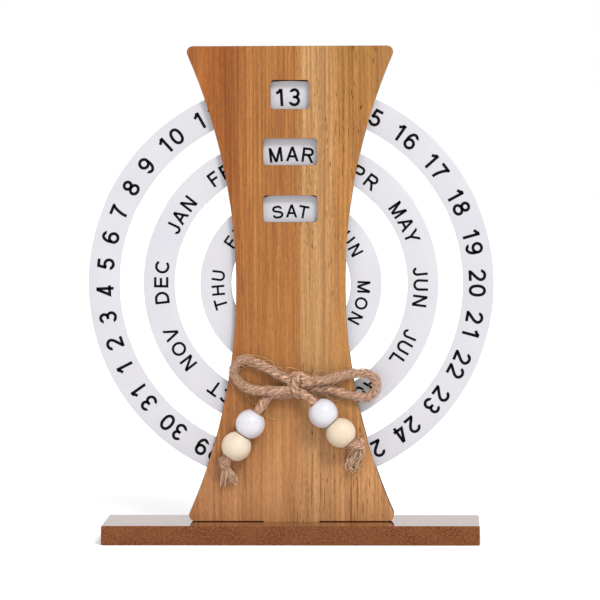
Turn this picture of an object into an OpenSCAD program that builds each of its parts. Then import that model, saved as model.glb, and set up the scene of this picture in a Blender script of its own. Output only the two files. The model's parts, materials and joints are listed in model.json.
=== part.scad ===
// Perpetual desk calendar: three lettered rings turn between two upright panels on a base.
// The frame stands on z = 0 with its origin at the centre of the base's underside.
// The calendar faces -Y, so +X is on its right as it is read. All sizes are in millimetres.

/* [Rings] */
// Outside diameter of the day ring
day_ring_od = 167; // [150:0.5:210]
// Radial width of each ring's lettered band
ring_band = 12.7; // [9:0.1:14]
// Thickness of each ring
ring_t = 3; // [2:0.1:5]
// Radial width of the guides between the day and month rings
outer_guide_band = 9.05; // [6:0.05:12]
// Radial width of the guides between the month and weekday rings
inner_guide_band = 9.7; // [6:0.05:12]

/* [Panels] */
// Width of the panels at the waist
waist_w = 44.8; // [36:0.2:54]
// Width of the panels at the top and bottom, measured to the sharp corners
shoulder_w = 87.2; // [72:0.2:106]
// Height of panel above and below the day ring
end_margin = 13.8; // [10:0.1:20]
// Radius of the panels' rounded corners
corner_r = 2.5; // [1:0.1:4]
// Thickness of each panel
panel_t = 3; // [2:0.1:5]

/* [Windows] */
// Width of the date window
date_window_w = 16; // [12:0.1:20]
// Width of the month window
month_window_w = 22.2; // [18:0.1:28]
// Width of the weekday window
weekday_window_w = 22.4; // [18:0.1:28]
// Height of the date window's centre above the middle of the day ring's band
date_window_rise = 0.7; // [0:0.05:0.8]
// How much shorter the date window is than the day ring's band, at each end
date_window_lip = 0.4; // [0.1:0.05:1.2]
// Band of the other rings hidden above and below their windows
window_lip = 0.85; // [0.1:0.05:1.2]
// Radius of the windows' rounded corners
window_r = 1.5; // [0.5:0.1:3]

/* [Base] */
// Width of the base
base_w = 155; // [128:1:190]
// Depth of the base from front to back
base_d = 40; // [32:1:50]
// Height of the base
base_h = 8; // [6:0.1:12]
// Width of the tenon that stands in the base
tenon_w = 23; // [18:0.5:30]

/* [Beads] */
// Diameter of each bead
bead_d = 12.2; // [10:0.1:13]
// Length of each bead along its bore
bead_l = 10.5; // [8:0.1:11]
// Diameter of the bore through each bead
bead_bore = 4; // [3.6:0.1:5]
// Lean of the left tail's beads from upright
left_tail_tilt = 32; // [20:1:40]
// Lean of the right tail's beads from upright
right_tail_tilt = 42; // [30:1:50]

/* [Twine] */
// Diameter of the twine
twine_d = 3.2; // [2.6:0.1:3.4]
// Radius of the wrapped knot in the middle of the bow
knot_r = 3.2; // [2.8:0.1:3.6]
// Radius of the stopper knot at the end of each tail
stopper_r = 2.6; // [2.2:0.1:3]
// Radius of each frayed end where it spreads
fray_r = 2.4; // [1.8:0.1:2.6]

/* [Fits] */
// Radial play between a ring and the guides inside and outside it
ring_play = 0.5; // [0.3:0.05:0.8]
// Gap between a ring's face and the panel beside it
face_gap = 0.3; // [0.2:0.05:0.6]
// Gap between the tenon and its mortise on every side
tenon_gap = 0.1; // [0.05:0.05:0.3]
// Gap under the panels' shoulders, above the base
shoulder_gap = 0.25; // [0.1:0.05:0.5]
// Height that the tenon stops short of the base's underside
tenon_short = 0.2; // [0.1:0.1:1]
// Gap between the two beads on a tail
bead_gap = 0.3; // [0.2:0.05:0.5]
// Gap between the beads and the front panel
bead_clearance = 0.4; // [0.3:0.05:0.6]

/* [Hidden] */

// Facets of a ring or panel arc, and of a bead, knot or small corner
fine = 180;
round_fn = 64;
// Small overrun that keeps a cut clear of the face that it leaves
over = 1;

// Ring radii, each worked inwards from the day ring
day_r = day_ring_od / 2;
day_in_r = day_r - ring_band;
outer_guide_r = day_in_r - ring_play;
month_r = outer_guide_r - outer_guide_band - ring_play;
month_in_r = month_r - ring_band;
inner_guide_r = month_in_r - ring_play;
weekday_r = inner_guide_r - inner_guide_band - ring_play;
weekday_in_r = weekday_r - ring_band;
hub_r = weekday_in_r - ring_play;

// Places along Y: the stack is centred, with the rings between the two panels
spacer_t = ring_t + 2 * face_gap;
stack_t = spacer_t + 2 * panel_t;
panel_front = -stack_t / 2;
ring_front = -ring_t / 2;
spacer_front = -spacer_t / 2;

// Panel height and the height of the rings' centre above the base's underside
panel_h = 2 * (day_r + ring_play + end_margin);
centre_z = base_h + shoulder_gap + panel_h / 2;
tenon_h = base_h + shoulder_gap - tenon_short;

// Side arcs of the panels, and the centre of each corner's rounding
side_rise = (shoulder_w - waist_w) / 2;
side_r = (pow(panel_h / 2, 2) + pow(side_rise, 2)) / (2 * side_rise);
side_x = waist_w / 2 + side_r;
corner_z = panel_h / 2 - corner_r;
corner_x = side_x - sqrt(pow(side_r + corner_r, 2) - pow(corner_z, 2));

// Twine and beads are placed as [x, distance in front of the panel, height from the rings' centre]
twine_r = twine_d / 2;
bead_out = bead_d / 2 + bead_clearance;
// A small bead ends where its bore leaves the sphere, before it reaches the bead's full length
bead_chord = sqrt(pow(bead_d, 2) - pow(bead_bore, 2));
bead_pitch = min(bead_l, bead_chord) + bead_gap;
knot_place = [2.5, 3.8, -41.4];
knot_half = 1.2;
// Diameter of the glue dot behind the knot, and how far the knot sinks into it
glue_d = 5;
glue_sink = 0.5;
left_bead_place = [-16.5, bead_out, -57];
right_bead_place = [13.4, bead_out, -52.6];
left_stopper_place = [-27.2, 5.4, -73];
right_stopper_place = [28.2, 5.4, -65.4];
left_fray_place = [-26, 3, -82];
right_fray_place = [24.4, 3, -75];

// The two loops of the bow, each from the knot and back to it
left_loop_route = [
    [0, 3.6, -39.6], [-4, 3.4, -37.5], [-9.5, 2.4, -34.5], [-14.5, 1.9, -32], [-19, 1.8, -31],
    [-22.5, 1.8, -33], [-23.5, 1.8, -36.5], [-21.5, 1.9, -40], [-18, 2.8, -42.5],
    [-14, 4.4, -43.5], [-9, 5.2, -43.5], [-4.5, 5, -43.5], [0, 4.6, -43.2]
];
right_loop_route = [
    [5, 4.8, -40.5], [10, 4.8, -39.5], [15, 4.2, -39], [21, 2.8, -37.5], [27, 1.9, -36.5],
    [32, 1.8, -37], [35, 1.8, -40], [34.5, 1.8, -43.5], [31.5, 1.8, -46], [26.5, 1.8, -46],
    [21, 1.8, -44.5], [15, 1.8, -43], [10, 1.8, -42.5], [5, 1.8, -42]
];
// The start of each tail, from the knot to just above its first bead
left_tail_start = [[1.5, 2.2, -45], [-4.5, 1.8, -45.2], [-9, 2.2, -46]];
right_tail_start = [[4, 4.8, -44]];
// Straight lead-in before the first bead's centre, and lead-out past the second bead's centre
lead_in = 7;
lead_out = 6.5;
twine_sides = 8;
route_steps = 2;

// Direction that a tail runs down through its beads; side is -1 on the left and 1 on the right
function tail_dir(side, tilt) = [side * sin(tilt), 0, -cos(tilt)];
function tail_route(start, place, dir, stopper) = concat(
    start,
    [place - lead_in * dir, place, place + bead_pitch * dir, place + (bead_pitch + lead_out) * dir],
    [stopper]
);
left_dir = tail_dir(-1, left_tail_tilt);
right_dir = tail_dir(1, right_tail_tilt);

// A smooth curve through a route's points
function curve_point(a, b, c, d, t) =
    0.5 * (2 * b + (c - a) * t + (2 * a - 5 * b + 4 * c - d) * t * t + (3 * b - a - 3 * c + d) * t * t * t);
function smooth_route(points, steps) = let (last = len(points) - 1) concat(
    [
        for (i = [0 : last - 1], s = [0 : steps - 1])
            let (before = points[max(i - 1, 0)], after = points[min(i + 2, last)])
            curve_point(before, points[i], points[i + 1], after, s / steps)
    ],
    [points[last]]
);
function unit(v) = v / norm(v);
function heading(line, i) = unit(line[min(i + 1, len(line) - 1)] - line[max(i - 1, 0)]);
function row_frame(p) = [p.x, panel_front - p.y, centre_z + p.z];

// Twine along a route, as one closed tube with flat ends
module twine(route) {
    line = [for (p = smooth_route(route, route_steps)) row_frame(p)];
    rings = len(line);
    points = [
        for (i = [0 : rings - 1])
            let (along = heading(line, i), side = unit(cross(along, [0, 1, 0])), front = cross(side, along))
            for (k = [0 : twine_sides - 1])
                let (a = 360 * k / twine_sides)
                line[i] + twine_r * (cos(a) * side + sin(a) * front)
    ];
    walls = [
        for (i = [0 : rings - 2], k = [0 : twine_sides - 1])
            let (a = i * twine_sides + k, b = i * twine_sides + (k + 1) % twine_sides)
            each [[a, b, b + twine_sides], [a, b + twine_sides, a + twine_sides]]
    ];
    start_cap = [for (k = [twine_sides - 1 : -1 : 0]) k];
    end_cap = [for (k = [0 : twine_sides - 1]) (rings - 1) * twine_sides + k];
    polyhedron(points, concat(walls, [start_cap], [end_cap]));
}

// Stands a flat outline upright, with its front at y_front and its centre at the rings' centre
module upright(y_front, thickness) {
    translate([0, y_front + thickness, centre_z])
        rotate([90, 0, 0])
            linear_extrude(thickness)
                children();
}

module disc(r) {
    circle(r, $fn = fine);
}

module annulus(outer, inner) {
    difference() {
        disc(outer);
        disc(inner);
    }
}

// Material outside a corner's rounding, for the upper right corner
module corner_waste() {
    to_side = [side_x - corner_x, -corner_z];
    difference() {
        polygon([
            [corner_x, corner_z],
            [corner_x, corner_z + corner_r + over],
            [corner_x + side_rise, corner_z + corner_r + over],
            [corner_x, corner_z] + to_side * (corner_r + over) / side_r
        ]);
        translate([corner_x, corner_z])
            circle(corner_r, $fn = round_fn);
    }
}

// Hourglass outline that the panels and spacers share
module panel_outline() {
    difference() {
        square([shoulder_w, panel_h], center = true);
        for (side = [-1, 1])
            translate([side * side_x, 0])
                circle(side_r, $fn = fine);
        for (flip_x = [0, 1], flip_z = [0, 1])
            mirror([flip_x, 0])
                mirror([0, flip_z])
                    corner_waste();
    }
}

module tenon_outline() {
    translate([-tenon_w / 2, -panel_h / 2 - tenon_h])
        square([tenon_w, tenon_h + over]);
}

// Opening with rounded corners, centred on a ring's band
module window(w, h, z) {
    translate([0, z]) {
        square([w - 2 * window_r, h], center = true);
        square([w, h - 2 * window_r], center = true);
        for (sx = [-1, 1], sz = [-1, 1])
            translate([sx * (w / 2 - window_r), sz * (h / 2 - window_r)])
                circle(window_r, $fn = round_fn);
    }
}

module windows() {
    window(date_window_w, ring_band - 2 * date_window_lip, day_r - ring_band / 2 + date_window_rise);
    window(month_window_w, ring_band - 2 * window_lip, month_r - ring_band / 2);
    window(weekday_window_w, ring_band - 2 * window_lip, weekday_r - ring_band / 2);
}

// Half of the panels' plane: up is 1 for the upper half and -1 for the lower half
module half_plane(up) {
    translate([-shoulder_w, up > 0 ? 0 : -panel_h])
        square([2 * shoulder_w, panel_h]);
}

// A piece of the ring layer inside the panels' outline
module spacer(up) {
    upright(spacer_front, spacer_t)
        intersection() {
            panel_outline();
            half_plane(up);
            children();
        }
}

module ring(outer, inner) {
    upright(ring_front, ring_t)
        annulus(outer, inner);
}

// One bead with its bore along the tail; along counts beads down from the first
module bead(place, dir, along) {
    translate(row_frame(place + along * bead_pitch * dir))
        rotate([0, atan2(dir.x, dir.z), 0])
            difference() {
                intersection() {
                    sphere(bead_d / 2, $fn = round_fn);
                    cylinder(h = bead_l, r = bead_d, center = true, $fn = round_fn);
                }
                cylinder(h = bead_l + 2 * over, d = bead_bore, center = true, $fn = round_fn);
            }
}

module stopper_knot(place) {
    translate(row_frame(place))
        sphere(stopper_r, $fn = round_fn);
}

// Spread end of the twine below a stopper knot, as a plain cone
module frayed_end(from, to) {
    run = row_frame(to) - row_frame(from);
    reach = norm(run);
    translate(row_frame(from))
        rotate([0, acos(run.z / reach), atan2(run.y, run.x)])
            cylinder(h = reach, r1 = twine_r / 2, r2 = fray_r, $fn = round_fn);
}

module base() {
    color("sienna")
        difference() {
            translate([-base_w / 2, -base_d / 2, 0])
                cube([base_w, base_d, base_h]);
            translate([-tenon_w / 2 - tenon_gap, panel_front - tenon_gap, -over])
                cube([tenon_w + 2 * tenon_gap, stack_t + 2 * tenon_gap, base_h + 2 * over]);
        }
}

module front_panel() {
    color("peru")
        upright(panel_front, panel_t)
            difference() {
                union() {
                    panel_outline();
                    tenon_outline();
                }
                windows();
            }
}

module back_panel() {
    color("peru")
        upright(spacer_front + spacer_t, panel_t) {
            panel_outline();
            tenon_outline();
        }
}

module top_spacer() {
    color("saddlebrown")
        spacer(1)
            difference() {
                square(2 * panel_h, center = true);
                disc(day_r + ring_play);
            }
}

module bottom_spacer() {
    color("saddlebrown") {
        spacer(-1)
            difference() {
                square(2 * panel_h, center = true);
                disc(day_r + ring_play);
            }
        upright(spacer_front, spacer_t)
            tenon_outline();
    }
}

module upper_outer_guide() {
    color("saddlebrown")
        spacer(1)
            annulus(outer_guide_r, outer_guide_r - outer_guide_band);
}

module lower_outer_guide() {
    color("saddlebrown")
        spacer(-1)
            annulus(outer_guide_r, outer_guide_r - outer_guide_band);
}

module upper_inner_guide() {
    color("saddlebrown")
        spacer(1)
            annulus(inner_guide_r, inner_guide_r - inner_guide_band);
}

module lower_inner_guide() {
    color("saddlebrown")
        spacer(-1)
            annulus(inner_guide_r, inner_guide_r - inner_guide_band);
}

module centre_hub() {
    color("saddlebrown")
        upright(spacer_front, spacer_t)
            intersection() {
                panel_outline();
                disc(hub_r);
            }
}

module day_ring() {
    color("whitesmoke")
        ring(day_r, day_in_r);
}

module month_ring() {
    color("whitesmoke")
        ring(month_r, month_in_r);
}

module weekday_ring() {
    color("whitesmoke")
        ring(weekday_r, weekday_in_r);
}

// Dab of glue that holds the bow's knot on the front panel
module glue_dot() {
    color("linen")
        translate(row_frame([knot_place.x, 0, knot_place.z]))
            rotate([90, 0, 0])
                cylinder(h = knot_place.y - knot_r + glue_sink, d = glue_d, $fn = round_fn);
}

module bow_knot() {
    color("tan")
        translate(row_frame(knot_place))
            rotate_extrude($fn = round_fn)
                intersection() {
                    translate([0, -knot_half - knot_r])
                        square([knot_r, 2 * (knot_half + knot_r)]);
                    union() {
                        square([2 * knot_r, 2 * knot_half], center = true);
                        for (end = [-1, 1])
                            translate([0, end * knot_half])
                                circle(knot_r, $fn = round_fn);
                    }
                }
}

module bow_loop_left() {
    color("tan")
        twine(left_loop_route);
}

module bow_loop_right() {
    color("tan")
        twine(right_loop_route);
}

module bow_tail_left() {
    color("tan")
        twine(tail_route(left_tail_start, left_bead_place, left_dir, left_stopper_place));
}

module bow_tail_right() {
    color("tan")
        twine(tail_route(right_tail_start, right_bead_place, right_dir, right_stopper_place));
}

module white_bead_left() {
    color("white")
        bead(left_bead_place, left_dir, 0);
}

module natural_bead_left() {
    color("wheat")
        bead(left_bead_place, left_dir, 1);
}

module stopper_knot_left() {
    color("tan")
        stopper_knot(left_stopper_place);
}

module frayed_end_left() {
    color("tan")
        frayed_end(left_stopper_place, left_fray_place);
}

module white_bead_right() {
    color("white")
        bead(right_bead_place, right_dir, 0);
}

module natural_bead_right() {
    color("wheat")
        bead(right_bead_place, right_dir, 1);
}

module stopper_knot_right() {
    color("tan")
        stopper_knot(right_stopper_place);
}

module frayed_end_right() {
    color("tan")
        frayed_end(right_stopper_place, right_fray_place);
}

base();
front_panel();
back_panel();
top_spacer();
upper_outer_guide();
upper_inner_guide();
centre_hub();
lower_inner_guide();
lower_outer_guide();
bottom_spacer();
day_ring();
month_ring();
weekday_ring();
glue_dot();
bow_knot();
bow_loop_left();
bow_loop_right();
bow_tail_left();
bow_tail_right();
white_bead_left();
natural_bead_left();
stopper_knot_left();
frayed_end_left();
white_bead_right();
natural_bead_right();
stopper_knot_right();
frayed_end_right();
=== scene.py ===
"""Looks of a perpetual desk calendar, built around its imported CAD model.

Sizes and places are in metres, in the CAD model's frame: +Z is up and the calendar faces -Y.
"""

import json
import math
import random

import bmesh
import bpy
from mathutils import Matrix, Vector, noise
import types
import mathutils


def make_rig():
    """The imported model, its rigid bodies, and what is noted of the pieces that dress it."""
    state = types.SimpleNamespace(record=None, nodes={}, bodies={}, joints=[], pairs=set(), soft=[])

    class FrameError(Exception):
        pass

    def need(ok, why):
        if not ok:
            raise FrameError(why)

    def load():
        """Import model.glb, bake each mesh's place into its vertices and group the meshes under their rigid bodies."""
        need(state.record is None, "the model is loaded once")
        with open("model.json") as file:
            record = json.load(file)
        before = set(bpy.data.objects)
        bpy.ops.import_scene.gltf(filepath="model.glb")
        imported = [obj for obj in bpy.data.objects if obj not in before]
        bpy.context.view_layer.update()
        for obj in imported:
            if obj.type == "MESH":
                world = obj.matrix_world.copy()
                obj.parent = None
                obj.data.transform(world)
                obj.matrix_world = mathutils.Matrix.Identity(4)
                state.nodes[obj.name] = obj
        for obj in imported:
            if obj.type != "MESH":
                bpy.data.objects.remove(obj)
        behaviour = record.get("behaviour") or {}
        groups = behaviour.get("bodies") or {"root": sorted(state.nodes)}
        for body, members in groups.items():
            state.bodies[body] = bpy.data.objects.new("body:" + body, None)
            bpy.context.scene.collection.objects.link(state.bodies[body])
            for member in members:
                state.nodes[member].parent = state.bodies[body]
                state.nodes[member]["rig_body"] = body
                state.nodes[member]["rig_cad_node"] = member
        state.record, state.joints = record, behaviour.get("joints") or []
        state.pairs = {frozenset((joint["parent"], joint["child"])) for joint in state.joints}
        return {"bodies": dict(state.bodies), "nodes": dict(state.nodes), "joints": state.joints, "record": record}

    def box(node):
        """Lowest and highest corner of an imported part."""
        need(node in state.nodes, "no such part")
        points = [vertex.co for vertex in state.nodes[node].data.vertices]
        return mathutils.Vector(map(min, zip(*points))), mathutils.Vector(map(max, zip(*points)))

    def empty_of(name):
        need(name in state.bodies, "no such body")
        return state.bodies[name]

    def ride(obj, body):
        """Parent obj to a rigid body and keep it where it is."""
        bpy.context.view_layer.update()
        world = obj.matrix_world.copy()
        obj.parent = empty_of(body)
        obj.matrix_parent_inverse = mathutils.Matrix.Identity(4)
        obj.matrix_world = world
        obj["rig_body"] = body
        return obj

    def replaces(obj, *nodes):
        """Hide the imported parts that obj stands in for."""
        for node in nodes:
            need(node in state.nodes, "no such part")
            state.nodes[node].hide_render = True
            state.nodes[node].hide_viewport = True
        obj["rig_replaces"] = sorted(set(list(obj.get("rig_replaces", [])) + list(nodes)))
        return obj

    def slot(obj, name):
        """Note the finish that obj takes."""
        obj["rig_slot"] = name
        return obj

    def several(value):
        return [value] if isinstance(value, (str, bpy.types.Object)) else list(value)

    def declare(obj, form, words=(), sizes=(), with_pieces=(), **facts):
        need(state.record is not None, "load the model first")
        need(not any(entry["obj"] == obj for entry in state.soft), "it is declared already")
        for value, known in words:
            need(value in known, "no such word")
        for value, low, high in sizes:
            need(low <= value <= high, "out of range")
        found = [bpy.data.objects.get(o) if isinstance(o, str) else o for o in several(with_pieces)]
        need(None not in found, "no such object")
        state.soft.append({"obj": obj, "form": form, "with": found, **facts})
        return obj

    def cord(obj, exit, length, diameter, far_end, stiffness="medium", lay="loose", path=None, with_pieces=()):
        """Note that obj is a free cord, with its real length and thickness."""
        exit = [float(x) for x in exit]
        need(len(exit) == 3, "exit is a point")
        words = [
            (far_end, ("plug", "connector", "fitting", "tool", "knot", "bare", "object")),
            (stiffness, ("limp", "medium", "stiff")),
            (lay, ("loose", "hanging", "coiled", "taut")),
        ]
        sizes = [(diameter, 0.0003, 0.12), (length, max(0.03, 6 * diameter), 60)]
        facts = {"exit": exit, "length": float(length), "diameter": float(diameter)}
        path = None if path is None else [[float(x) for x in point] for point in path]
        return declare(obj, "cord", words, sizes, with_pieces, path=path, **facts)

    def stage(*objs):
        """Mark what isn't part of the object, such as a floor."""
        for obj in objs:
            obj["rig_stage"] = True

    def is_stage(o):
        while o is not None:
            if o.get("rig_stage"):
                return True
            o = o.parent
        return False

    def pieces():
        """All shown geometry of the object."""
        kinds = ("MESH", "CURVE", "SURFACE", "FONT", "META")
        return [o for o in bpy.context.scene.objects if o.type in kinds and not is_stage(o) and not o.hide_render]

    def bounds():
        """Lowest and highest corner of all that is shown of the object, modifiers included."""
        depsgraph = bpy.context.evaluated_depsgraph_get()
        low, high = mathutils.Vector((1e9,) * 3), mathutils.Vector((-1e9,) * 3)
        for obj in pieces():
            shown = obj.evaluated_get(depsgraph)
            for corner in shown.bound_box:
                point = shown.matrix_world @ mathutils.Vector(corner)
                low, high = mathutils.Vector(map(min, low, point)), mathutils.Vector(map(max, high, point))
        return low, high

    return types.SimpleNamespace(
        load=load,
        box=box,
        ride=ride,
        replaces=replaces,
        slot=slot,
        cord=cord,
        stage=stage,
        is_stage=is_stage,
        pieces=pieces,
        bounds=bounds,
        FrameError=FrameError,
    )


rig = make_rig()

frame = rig.load()
cad_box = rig.bounds()

MM = 0.001
UP = Vector((0, 0, 1))
FRONT = Vector((0, -1, 0))
PANEL_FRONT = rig.box("front_panel")[0].y
RING_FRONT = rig.box("day_ring")[0].y
JOINTS = {joint["name"]: joint for joint in frame["joints"]}
RING_CENTRE = Vector(JOINTS["day_spin"]["pos_m"])


def linked(name, data):
    """A new object, linked into the scene."""
    made = bpy.data.objects.new(name, data)
    bpy.context.scene.collection.objects.link(made)
    return made


# ---------------------------------------------------------------- camera

CAMERA_PLACE = Vector((0.0625, -1.6062, 0.1949))
CAMERA_YAW = 0.0366
CAMERA_PITCH = -0.0594
CAMERA_ROLL = -0.0036
CAMERA_LENS = 234.4


def add_camera():
    """A long lens, a little to the right of the calendar and a little above it."""
    level = Vector((-math.sin(CAMERA_YAW), math.cos(CAMERA_YAW), 0))
    forward = level * math.cos(CAMERA_PITCH) + UP * math.sin(CAMERA_PITCH)
    flat_right = forward.cross(UP).normalized()
    flat_up = flat_right.cross(forward)
    right = flat_right * math.cos(CAMERA_ROLL) + flat_up * math.sin(CAMERA_ROLL)
    above = flat_up * math.cos(CAMERA_ROLL) - flat_right * math.sin(CAMERA_ROLL)
    turn = Matrix((right, above, -forward)).transposed()
    data = bpy.data.cameras.new("camera")
    data.lens = CAMERA_LENS
    camera = linked("camera", data)
    camera.matrix_world = Matrix.Translation(CAMERA_PLACE) @ turn.to_4x4()
    bpy.context.scene.camera = camera


add_camera()


# ---------------------------------------------------------------- materials

# Single colours, as linear red, green and blue
# Wood made paler near the panels' foot: painted light, bounced up from the base's glossy top
BOUNCE_LIT_WOOD = (0.45, 0.225, 0.1)
UPPER_LEFT_TINT = (0.88, 0.78, 0.62)
UPPER_RIGHT_TINT = (0.86, 0.86, 0.78)
BAND_TINT = (0.84, 0.79, 0.71)
STREAK = (0.16, 0.058, 0.016)
PORE = (0.075, 0.026, 0.008)
BOARD_CLOUD = (0.2, 0.08, 0.034)
BOARD_CHIP = (0.36, 0.17, 0.085)
WARM_BEAD = (0.62, 0.47, 0.33)
HAZE = {"jute": (0.52, 0.33, 0.23), "loose_jute": (0.82, 0.54, 0.37)}
HAZE["gold_fibre"] = (0.8, 0.52, 0.26)

# Pairs of colours that a noise mixes: where it is low, and where it is high
TONES = {
    "wood_lines": ((0.84, 0.8, 0.74), (1.12, 1.14, 1.17)),
    "wood_mottle": ((0.88, 0.88, 0.88), (1.1, 1.1, 1.1)),
    "wood_fine_lines": ((1.1, 1.13, 1.17), (0.89, 0.83, 0.75)),
    "cut_edge": ((0.07, 0.042, 0.028), (0.22, 0.14, 0.095)),
    # Near-black spacer edges: scorch, darkened further as painted shade where the spacers show between the rings
    "scorch_and_shade_edge": ((0.01, 0.006, 0.004), (0.05, 0.028, 0.016)),
    "window_edge": ((0.11, 0.052, 0.027), (0.26, 0.15, 0.09)),
    "board": ((0.092, 0.026, 0.007), (0.195, 0.066, 0.024)),
    "ring_lacquer": ((0.488, 0.478, 0.51), (0.512, 0.503, 0.53)),
    "ink": ((0.002, 0.002, 0.002), (0.005, 0.005, 0.005)),
    "white_bead_paint": ((0.525, 0.515, 0.56), (0.55, 0.54, 0.58)),
    "natural_bead_wood": ((0.565, 0.462, 0.35), (0.605, 0.502, 0.39)),
    "jute": ((0.17, 0.072, 0.034), (0.66, 0.39, 0.26)),
    "loose_jute": ((0.64, 0.37, 0.21), (0.93, 0.64, 0.45)),
    "gold_fibre": ((0.7, 0.42, 0.17), (0.86, 0.58, 0.3)),
    "glue": ((0.45, 0.4, 0.3), (0.6, 0.55, 0.45)),
    "floor": ((0.975, 0.975, 0.975), (0.985, 0.985, 0.985)),
}

# Noises: features per metre along X, Y and Z (jute: per turn and mm of a ply), and detail. Those
# that make patches also have the levels where a patch starts and is full, and its strength.
NOISES = {
    "wood_wander": ((30, 30, 7), 2),
    "wood_bands": ((230, 60, 7), 3, 0.32, 0.68, 1),
    "wood_lines": ((900, 300, 17), 4, 0.34, 0.66, 1),
    "wood_mottle": ((2100, 900, 420), 2, 0.3, 0.7, 1),
    "wood_fine_lines": ((1700, 500, 11), 2, 0.43, 0.58, 1),
    "wood_streak_groups": ((120, 60, 9), 3, 0.48, 0.64, 0.85),
    "wood_streaks": ((1100, 300, 40), 2, 0.59, 0.68, 1),
    "wood_pore_groups": ((110, 60, 16), 1, 0.4, 0.58, 1),
    "wood_pores": ((2000, 800, 210), 1, 0.65, 0.71, 1),
    "edge_layers": ((60, 1500, 60), 3, 0.35, 0.65, 1),
    "edge_scorch": ((400, 400, 400), 3, 0.3, 0.7, 0.5),
    "window_layers": ((80, 1300, 80), 3, 0.35, 0.65, 1),
    "board_fibres": ((1000, 1000, 1300), 4, 0.36, 0.64, 1),
    "board_clouds": ((90, 90, 160), 3, 0.35, 0.65, 0.3),
    "board_chips": ((1500, 1500, 1900), 3, 0.64, 0.72, 0.6),
    "lacquer_mottle": ((45, 45, 45), 3, 0.3, 0.7, 1),
    "lacquer_peel": ((700, 700, 700), 2),
    "ink_cover": ((900, 900, 900), 3),
    "paint_depth": ((150, 150, 150), 3, 0.3, 0.7, 1),
    "paint_ripple": ((500, 500, 500), 3),
    "bead_rings": ((420, 420, 160), 3, 0.3, 0.7, 1),
    "bead_warmth": ((130, 130, 60), 3, 0.35, 0.65, 0.3),
    "jute_fibres": ((11, 0.45, 1), 5, 0.36, 0.64, 1),
    "jute_clouds": ((420, 420, 420), 3, 0.35, 0.65, 0.45),
    "glue_milk": ((600, 600, 600), 3),
    "floor_tone": ((3, 3, 3), 3),
}
NOISE_ROUGHNESS = 0.55

# Each material's roughness, its specular level and the depth of its relief in mm
SURFACES = {
    "panel_wood": (0.5, 0.25, 0.04),
    "cut_edge": (0.75, 0.15, 0.05),
    "scorch_and_shade_edge": (0.75, 0.15, 0.05),
    "window_edge": (0.7, 0.5, 0.04),
    "board_edge": (0.8, 0.12, 0.06),
    "board_top": (0.06, 0.55, 0.001),
    "ring_lacquer": (0.42, 0.3, 0.01),
    "ink": (0.7, 0.08, 0),
    "white_bead_paint": (0.3, 0.5, 0.008),
    "natural_bead_wood": (0.42, 0.4, 0.01),
    "jute": (0.85, 0.2, 0.15),
    "loose_jute": (0.85, 0.2, 0.15),
    "gold_fibre": (0.85, 0.2, 0.15),
    "glue": (0.3, 0.5, 0.03),
    "floor": (0.9, 0.1, 0),
}
BEAD_COAT = {"Coat Weight": 1.0, "Coat Roughness": 0.03}
JUTE_SHEEN = {"Sheen Weight": 0.1, "Sheen Roughness": 0.5}


def shader(name, extra=()):
    """A new material, its node tree and its main shader, with extra plain values."""
    material = bpy.data.materials.new(name)
    material.use_nodes = True
    tree = material.node_tree
    main = tree.nodes["Principled BSDF"]
    roughness, specular, _ = SURFACES[name]
    plain = {"Roughness": roughness, "Specular IOR Level": specular, **dict(extra)}
    for socket, value in plain.items():
        main.inputs[socket].default_value = value
    return material, tree, main


def add_node(tree, kind, inputs=(), **settings):
    """A shader node. Each input is set to a value, or linked to another node's socket."""
    made = tree.nodes.new("ShaderNode" + kind)
    for key, value in settings.items():
        setattr(made, key, value)
    for key, value in dict(inputs).items():
        if isinstance(value, bpy.types.NodeSocket):
            tree.links.new(value, made.inputs[key])
        else:
            made.inputs[key].default_value = value
    return made


def object_coords(tree):
    return add_node(tree, "TexCoord").outputs["Object"]


def noisy(tree, name, coords=None):
    """One of the NOISES, in the object's coordinates unless others are given."""
    per_metre, detail = NOISES[name][:2]
    settings = {"Vector": coords or object_coords(tree), "Scale": per_metre}
    place = add_node(tree, "Mapping", settings).outputs["Vector"]
    inputs = {"Vector": place, "Scale": 1.0, "Detail": detail, "Roughness": NOISE_ROUGHNESS}
    return add_node(tree, "TexNoise", inputs).outputs["Fac"]


def spread(tree, value, low, high, to_low=0.0, to_high=1.0):
    """value mapped smoothly from low and high onto to_low and to_high, and held there."""
    inputs = {"Value": value, "From Min": low, "From Max": high}
    inputs |= {"To Min": to_low, "To Max": to_high}
    return add_node(tree, "MapRange", inputs, interpolation_type="SMOOTHSTEP").outputs["Result"]


def patchy(tree, name, coords=None):
    """One of the NOISES, turned into patches."""
    low, high, most = NOISES[name][2:]
    return spread(tree, noisy(tree, name, coords), low, high, 0.0, most)


def arithmetic(tree, operation, first, second):
    return add_node(tree, "Math", {0: first, 1: second}, operation=operation).outputs["Value"]


def times(tree, *values):
    """The product of several values."""
    result = values[0]
    for value in values[1:]:
        result = arithmetic(tree, "MULTIPLY", result, value)
    return result


def blended(tree, amount, first, second, kind="MIX"):
    """Two colours mixed by amount. Each is (red, green, blue), or another node's socket."""
    mixed = [(*value, 1) if isinstance(value, tuple) else value for value in (first, second)]
    inputs = {0: amount, 6: mixed[0], 7: mixed[1]}
    return add_node(tree, "Mix", inputs, data_type="RGBA", blend_type=kind).outputs[2]


def toned(tree, amount, name):
    """The colour that amount picks between two TONES."""
    return blended(tree, amount, *TONES[name])


def tinted(tree, amount, colour, tint):
    """colour multiplied by tint, as far as amount says."""
    return blended(tree, amount, colour, tint, "MULTIPLY")


def ramp(tree, value, stops):
    """A colour ramp through (position, (red, green, blue)) stops."""
    made = add_node(tree, "ValToRGB", {"Fac": value})
    elements = made.color_ramp.elements
    while len(elements) < len(stops):
        elements.new(0.5)
    for element, (position, colour) in zip(elements, stops):
        element.position = position
        element.color = (*colour, 1)
    return made.outputs["Color"]


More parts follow.
